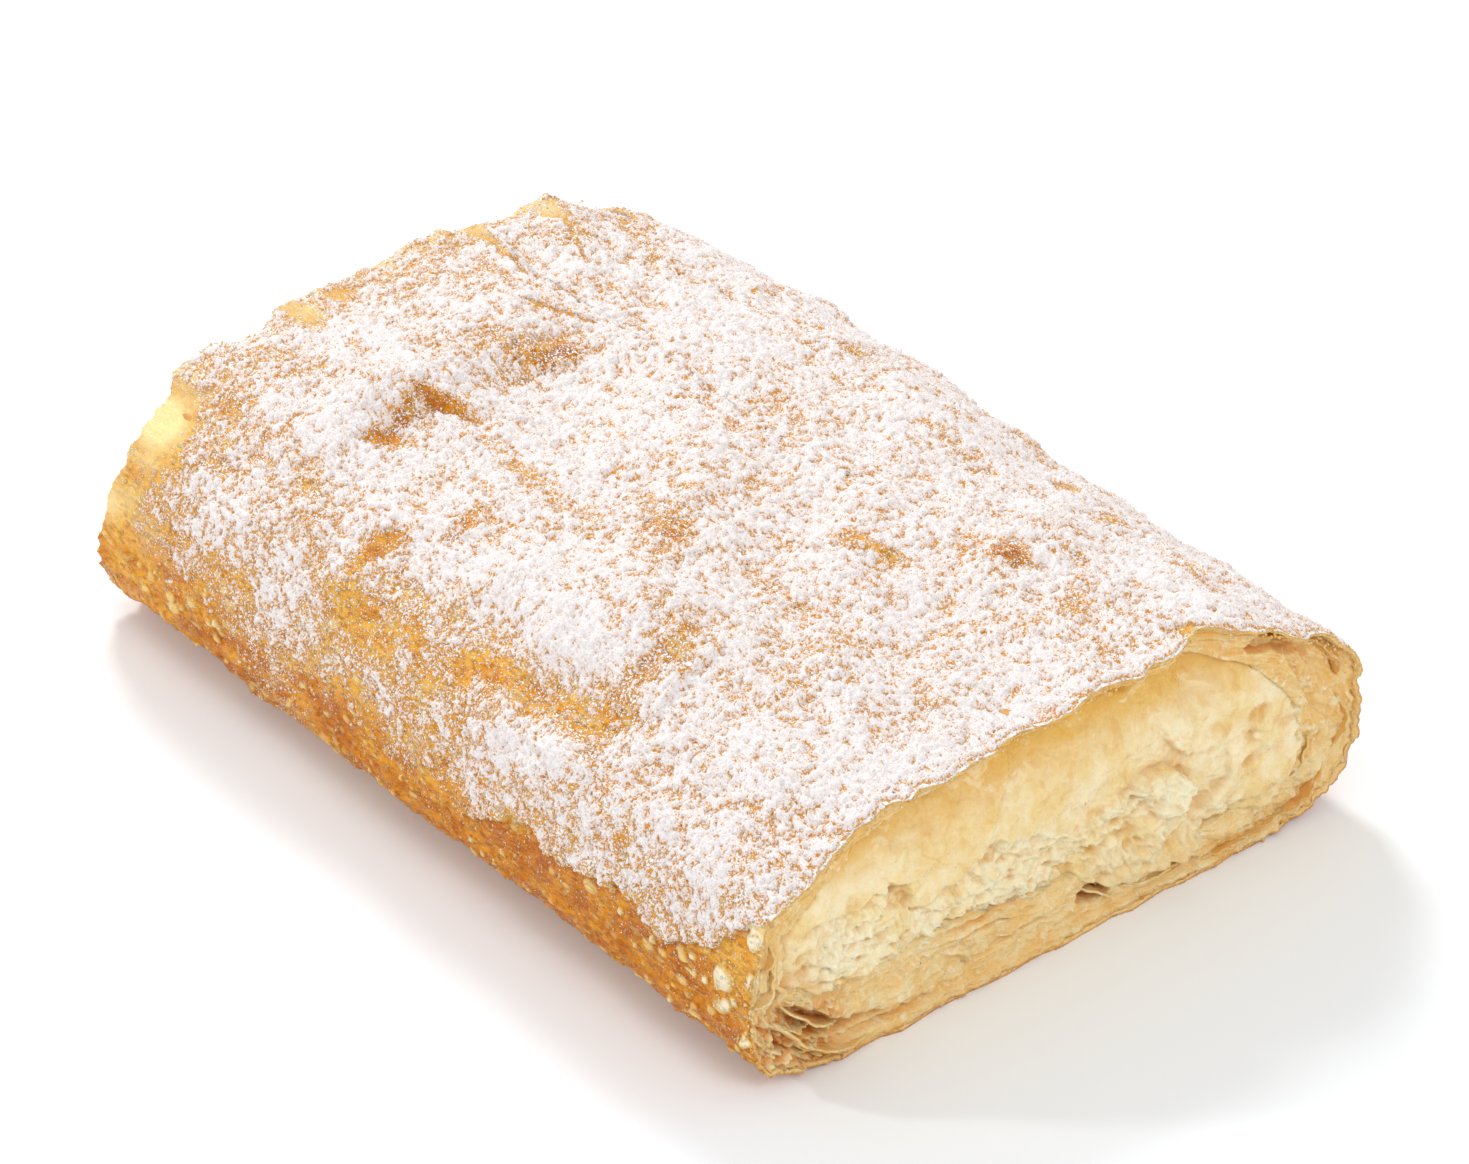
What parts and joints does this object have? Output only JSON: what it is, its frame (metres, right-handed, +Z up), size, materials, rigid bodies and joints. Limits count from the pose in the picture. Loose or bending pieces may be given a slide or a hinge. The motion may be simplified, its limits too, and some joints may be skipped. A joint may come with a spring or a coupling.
{
  "type": "cheese strudel",
  "caption": "Portion of baked cheese strudel, cut at both ends: a flat oval wrap of thin browned dough leaves round a soft curd filling, dusted with icing sugar.",
  "frame": {"origin": "middle of the box round the strudel, at the bottom, where it rests", "axes": "+X along the roll, towards the cut end that shows; +Y across it; +Z up"},
  "size_m": [0.1253, 0.0907, 0.0352],
  "materials": {
    "baked_dough": "thin browned strudel dough, blistered and flaky, satin where buttered",
    "curd": "soft baked curd cheese, creamy and slightly moist",
    "icing_sugar": "dry white powder with small clumps"
  },
  "bodies": {
    "root": {"strudel_wrap": "baked_dough", "curd_cheese": "curd"}
  },
  "joints": []
}
